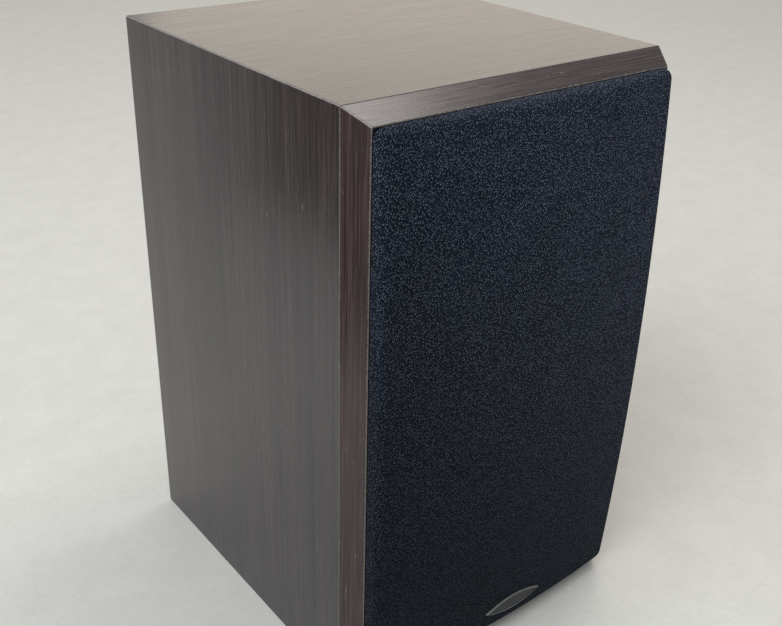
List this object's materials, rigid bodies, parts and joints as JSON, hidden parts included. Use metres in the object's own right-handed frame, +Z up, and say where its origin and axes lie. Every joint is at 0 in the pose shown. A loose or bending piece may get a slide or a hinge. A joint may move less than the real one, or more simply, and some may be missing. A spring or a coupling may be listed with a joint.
{
  "type": "bookshelf speaker",
  "caption": "Compact two-way bookshelf loudspeaker: dark wood-vinyl cabinet, bevelled front, domed removable cloth grille, rear reflex port and binding posts.",
  "frame": {"origin": "middle of the whole speaker's footprint, grille included, on the surface it stands on", "axes": "+Z up, +Y from the grille towards the back, +X to the right seen from the front"},
  "size_m": [0.165, 0.1906, 0.271],
  "materials": {
    "wood_vinyl": "dark brown-black straight-grained wood vinyl on fibreboard, satin",
    "baffle_vinyl": "the same dark wood vinyl, wrapped over the bevelled front board",
    "black_vinyl": "black vinyl on fibreboard, satin",
    "wool": "white polyester fibre wadding",
    "grille_cloth": "blue-black knitted loudspeaker cloth, matt",
    "black_plastic": "moulded black plastic, fine texture",
    "badge_metal": "dark grey anodised plate with a bright rim",
    "rubber": "black butyl rubber, matt",
    "black_steel": "stamped steel, black powder coat",
    "foam": "closed-cell foam gasket",
    "black_screw": "black oxide steel",
    "cone_paper": "treated pulp cone, felted",
    "cap_plastic": "smooth soft-gloss dust cap",
    "aluminium": "thin drawn aluminium",
    "copper": "enamelled copper wire",
    "spider_cloth": "resin-dipped yellow cloth",
    "zinc_steel": "bright zinc-plated mild steel",
    "ferrite": "ground ferrite, dull dark grey",
    "board_terminals": "brown phenolic board with tinned tabs",
    "copper_braid": "woven copper tinsel",
    "dome_silk": "coated silk dome",
    "gold_plate": "gold-plated brass",
    "knob_black": "moulded black knob",
    "knob_red": "moulded red knob",
    "circuit_board": "green glass-epoxy board",
    "nylon": "natural nylon",
    "capacitor_film": "amber taped film capacitor",
    "resistor_ceramic": "off-white cement block",
    "wire_pvc": "PVC insulation, one red and one black wire in each pair"
  },
  "bodies": {
    "cabinet": {"top_panel": "wood_vinyl", "bottom_panel": "wood_vinyl", "left_side_panel": "wood_vinyl", "right_side_panel": "wood_vinyl", "front_baffle": "baffle_vinyl", "rear_panel": "black_vinyl", "damping_wool": "wool", "grille_peg_sockets": "rubber", "woofer_basket": "black_steel", "woofer_gasket": "foam", "woofer_trim_ring": "black_plastic", "woofer_screws": "black_screw", "woofer_top_plate": "zinc_steel", "woofer_magnet": "ferrite", "woofer_pole_yoke": "zinc_steel", "woofer_terminals": "board_terminals", "tweeter_faceplate": "black_plastic", "tweeter_gasket": "foam", "tweeter_screws": "black_screw", "tweeter_top_plate": "zinc_steel", "tweeter_magnet": "ferrite", "tweeter_pole_yoke": "zinc_steel", "tweeter_terminals": "board_terminals", "port_tube": "black_plastic", "terminal_cup": "black_plastic", "terminal_cup_gasket": "foam", "rear_screws": "black_screw", "black_post_stud": "gold_plate", "black_post_collar": "knob_black", "red_post_stud": "gold_plate", "red_post_collar": "knob_red", "post_nuts": "zinc_steel", "keyhole_plate": "zinc_steel", "crossover_board": "circuit_board", "crossover_spacers": "nylon", "crossover_bobbins": "nylon", "crossover_coils": "copper", "crossover_capacitors": "capacitor_film", "crossover_resistor": "resistor_ceramic", "input_wires": "wire_pvc", "woofer_wires": "wire_pvc", "tweeter_wires": "wire_pvc"},
    "grille": {"grille_cloth": "grille_cloth", "grille_frame": "black_plastic", "grille_badge": "badge_metal", "grille_pegs": "black_plastic"},
    "woofer_moving": {"woofer_surround": "rubber", "woofer_cone": "cone_paper", "woofer_dust_cap": "cap_plastic", "woofer_coil_former": "aluminium", "woofer_voice_coil": "copper", "woofer_spider": "spider_cloth", "woofer_tinsel_leads": "copper_braid"},
    "tweeter_moving": {"tweeter_surround": "dome_silk", "tweeter_dome": "dome_silk", "tweeter_voice_coil": "copper"},
    "black_washer": {"black_post_washer": "gold_plate"},
    "black_knob": {"black_post_knob": "knob_black"},
    "red_washer": {"red_post_washer": "gold_plate"},
    "red_knob": {"red_post_knob": "knob_red"}
  },
  "joints": [
    {"name": "grille_pull", "type": "slide", "parent": "cabinet", "child": "grille", "axis": [0, -1, 0], "range_m": [0, 0.03]},
    {"name": "woofer_travel", "type": "slide", "parent": "cabinet", "child": "woofer_moving", "axis": [0, -1, 0], "range_m": [-0.005, 0.005], "stiffness_N_per_m": 1000, "deforming": ["woofer_surround", "woofer_spider", "woofer_tinsel_leads"]},
    {"name": "tweeter_travel", "type": "slide", "parent": "cabinet", "child": "tweeter_moving", "axis": [0, -1, 0], "range_m": [-0.0003, 0.0003], "stiffness_N_per_m": 400, "deforming": ["tweeter_surround"]},
    {"name": "black_knob_travel", "type": "slide", "parent": "cabinet", "child": "black_washer", "axis": [0, 1, 0], "range_m": [0, 0.004]},
    {"name": "black_knob_turn", "type": "hinge", "parent": "black_washer", "child": "black_knob", "pos_m": [-0.00953, 0.07235, 0.074], "axis": [0, 1, 0], "range_deg": [0, 1440.1]},
    {"name": "red_knob_travel", "type": "slide", "parent": "cabinet", "child": "red_washer", "axis": [0, 1, 0], "range_m": [0, 0.004]},
    {"name": "red_knob_turn", "type": "hinge", "parent": "red_washer", "child": "red_knob", "pos_m": [0.00953, 0.07235, 0.074], "axis": [0, 1, 0], "range_deg": [0, 1440.1]}
  ],
  "couplings": [
    {"joint": "black_knob_turn", "follows": "black_knob_travel", "rad_per_m": 6283.2},
    {"joint": "red_knob_turn", "follows": "red_knob_travel", "rad_per_m": 6283.2}
  ]
}
